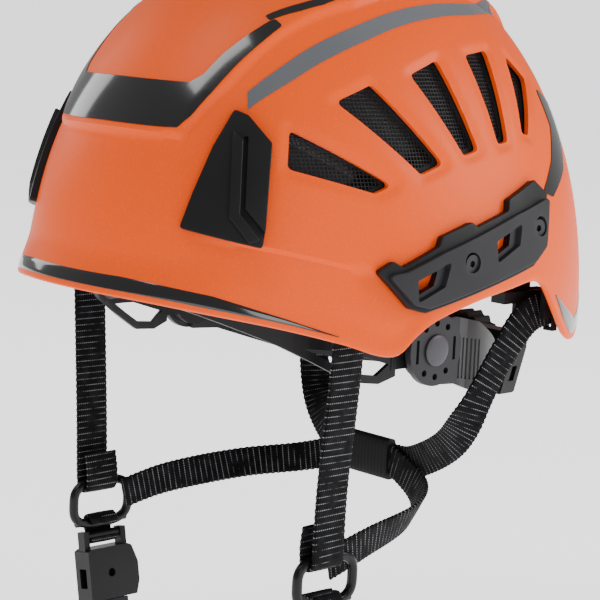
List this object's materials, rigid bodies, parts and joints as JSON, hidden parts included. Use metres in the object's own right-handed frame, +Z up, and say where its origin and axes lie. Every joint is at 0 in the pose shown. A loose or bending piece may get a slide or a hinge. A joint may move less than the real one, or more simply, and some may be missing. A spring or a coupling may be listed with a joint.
{
  "type": "climbing helmet",
  "caption": "Climbing helmet: ventilated hard shell with lamp clips and side rails, foam liner, ratcheting tilting headband and a webbing chin harness with a quick-release buckle.",
  "frame": {"origin": "centre of the headband opening, level with the ear pivots (the head_seat mount)", "axes": "+X to the wearer's left, -Y to the front, +Z up; stored as worn, chin strap buckled"},
  "size_m": [0.2218, 0.2683, 0.3387],
  "materials": {
    "outer_shell": "satin orange",
    "foam_liner": "expanded foam, charcoal",
    "vent_mesh_left": "fine woven mesh, black",
    "vent_mesh_right": "fine woven mesh, black",
    "crown_trim": "gloss black",
    "brim_trim": "gloss black",
    "arc_trim_left": "reflective grey",
    "arc_trim_right": "reflective grey",
    "rear_trim_left": "gloss black",
    "rear_trim_right": "gloss black",
    "nape_trim": "gloss black",
    "lamp_clip_left": "fine matt black",
    "lamp_clip_right": "fine matt black",
    "rear_lamp_clip": "fine matt black",
    "accessory_rail_left": "matt charcoal",
    "accessory_rail_right": "matt charcoal",
    "rail_screws": "black oxide",
    "strap_anchors": "black",
    "strap_keepers": "black",
    "hanger_guides": "black",
    "headband_front": "black",
    "brow_pad": "padded knit, black",
    "crown_pad": "padded knit, black",
    "pivot_disc_left": "charcoal",
    "pivot_disc_right": "charcoal",
    "pivot_pins": "charcoal",
    "front_strap_left": "black webbing with silver cross threads",
    "front_strap_right": "black webbing with silver cross threads",
    "rear_strap_left": "black webbing with silver cross threads",
    "rear_strap_right": "black webbing with silver cross threads",
    "lower_strap_left": "black webbing with silver cross threads",
    "lower_strap_right": "black webbing with silver cross threads",
    "nape_keeper": "black elastic sleeve",
    "strap_divider_left": "black",
    "strap_divider_right": "black",
    "buckle_link": "black webbing",
    "buckle_socket": "black",
    "nape_arm_left": "black",
    "nape_arm_right": "black",
    "nape_hanger_left": "black",
    "nape_hanger_right": "black",
    "adjuster_housing": "black",
    "adjuster_cover": "black",
    "nape_pad": "padded knit, black",
    "size_knob": "ribbed soft grip, black",
    "drive_pinion": "natural grey",
    "knob_screw": "steel",
    "rack_left": "natural grey",
    "rack_right": "natural grey",
    "chin_strap": "black webbing with silver cross threads",
    "chin_adjuster": "black",
    "strap_tail_keeper": "black elastic loop",
    "buckle_plug": "black",
    "latch_prong_left": "charcoal",
    "latch_prong_right": "charcoal"
  },
  "bodies": {
    "helmet": {"outer_shell": "outer_shell", "foam_liner": "foam_liner", "vent_mesh_left": "vent_mesh_left", "vent_mesh_right": "vent_mesh_right", "crown_trim": "crown_trim", "brim_trim": "brim_trim", "arc_trim_left": "arc_trim_left", "arc_trim_right": "arc_trim_right", "rear_trim_left": "rear_trim_left", "rear_trim_right": "rear_trim_right", "nape_trim": "nape_trim", "lamp_clip_left": "lamp_clip_left", "lamp_clip_right": "lamp_clip_right", "rear_lamp_clip": "rear_lamp_clip", "accessory_rail_left": "accessory_rail_left", "accessory_rail_right": "accessory_rail_right", "rail_screws": "rail_screws", "strap_anchors": "strap_anchors", "strap_keepers": "strap_keepers", "hanger_guides": "hanger_guides", "headband_front": "headband_front", "brow_pad": "brow_pad", "crown_pad": "crown_pad", "pivot_disc_left": "pivot_disc_left", "pivot_disc_right": "pivot_disc_right", "pivot_pins": "pivot_pins", "front_strap_left": "front_strap_left", "front_strap_right": "front_strap_right", "rear_strap_left": "rear_strap_left", "rear_strap_right": "rear_strap_right", "lower_strap_left": "lower_strap_left", "lower_strap_right": "lower_strap_right", "nape_keeper": "nape_keeper", "strap_divider_left": "strap_divider_left", "strap_divider_right": "strap_divider_right", "buckle_link": "buckle_link", "buckle_socket": "buckle_socket"},
    "nape_cradle": {"nape_arm_left": "nape_arm_left", "nape_arm_right": "nape_arm_right", "nape_hanger_left": "nape_hanger_left", "nape_hanger_right": "nape_hanger_right", "adjuster_housing": "adjuster_housing", "adjuster_cover": "adjuster_cover", "nape_pad": "nape_pad"},
    "knob": {"size_knob": "size_knob", "drive_pinion": "drive_pinion", "knob_screw": "knob_screw"},
    "left_rack": {"rack_left": "rack_left"},
    "right_rack": {"rack_right": "rack_right"},
    "chin": {"chin_strap": "chin_strap", "chin_adjuster": "chin_adjuster", "strap_tail_keeper": "strap_tail_keeper", "buckle_plug": "buckle_plug"},
    "prong_left": {"latch_prong_left": "latch_prong_left"},
    "prong_right": {"latch_prong_right": "latch_prong_right"}
  },
  "joints": [
    {"name": "nape_tilt", "type": "hinge", "parent": "helmet", "child": "nape_cradle", "pos_m": [0, 0.0025, -0.0095], "axis": [1, 0, 0], "range_deg": [-8, 8]},
    {"name": "knob_turn", "type": "hinge", "parent": "nape_cradle", "child": "knob", "pos_m": [0, 0.112, -0.03], "axis": [0, -1, 0], "range_deg": [0, 240]},
    {"name": "rack_left_slide", "type": "slide", "parent": "nape_cradle", "child": "left_rack", "axis": [-1, 0, 0], "range_m": [0, 0.0135]},
    {"name": "rack_right_slide", "type": "slide", "parent": "nape_cradle", "child": "right_rack", "axis": [1, 0, 0], "range_m": [0, 0.0135]},
    {"name": "chin_release", "type": "hinge", "parent": "helmet", "child": "chin", "pos_m": [0.076, -0.05, -0.111], "axis": [0, -1, 0], "range_deg": [0, 75]},
    {"name": "prong_left_press", "type": "hinge", "parent": "chin", "child": "prong_left", "pos_m": [-0.06831, -0.0431, -0.15056], "axis": [0.9816, 0, 0.1908], "range_deg": [0, 6], "stiffness_Nm_per_rad": 0.05},
    {"name": "prong_right_press", "type": "hinge", "parent": "chin", "child": "prong_right", "pos_m": [-0.06831, -0.0569, -0.15056], "axis": [-0.9816, 0, -0.1908], "range_deg": [0, 6], "stiffness_Nm_per_rad": 0.05}
  ],
  "couplings": [
    {"joint": "rack_left_slide", "follows": "knob_turn", "m_per_rad": 0.0032},
    {"joint": "rack_right_slide", "follows": "knob_turn", "m_per_rad": 0.0032}
  ]
}
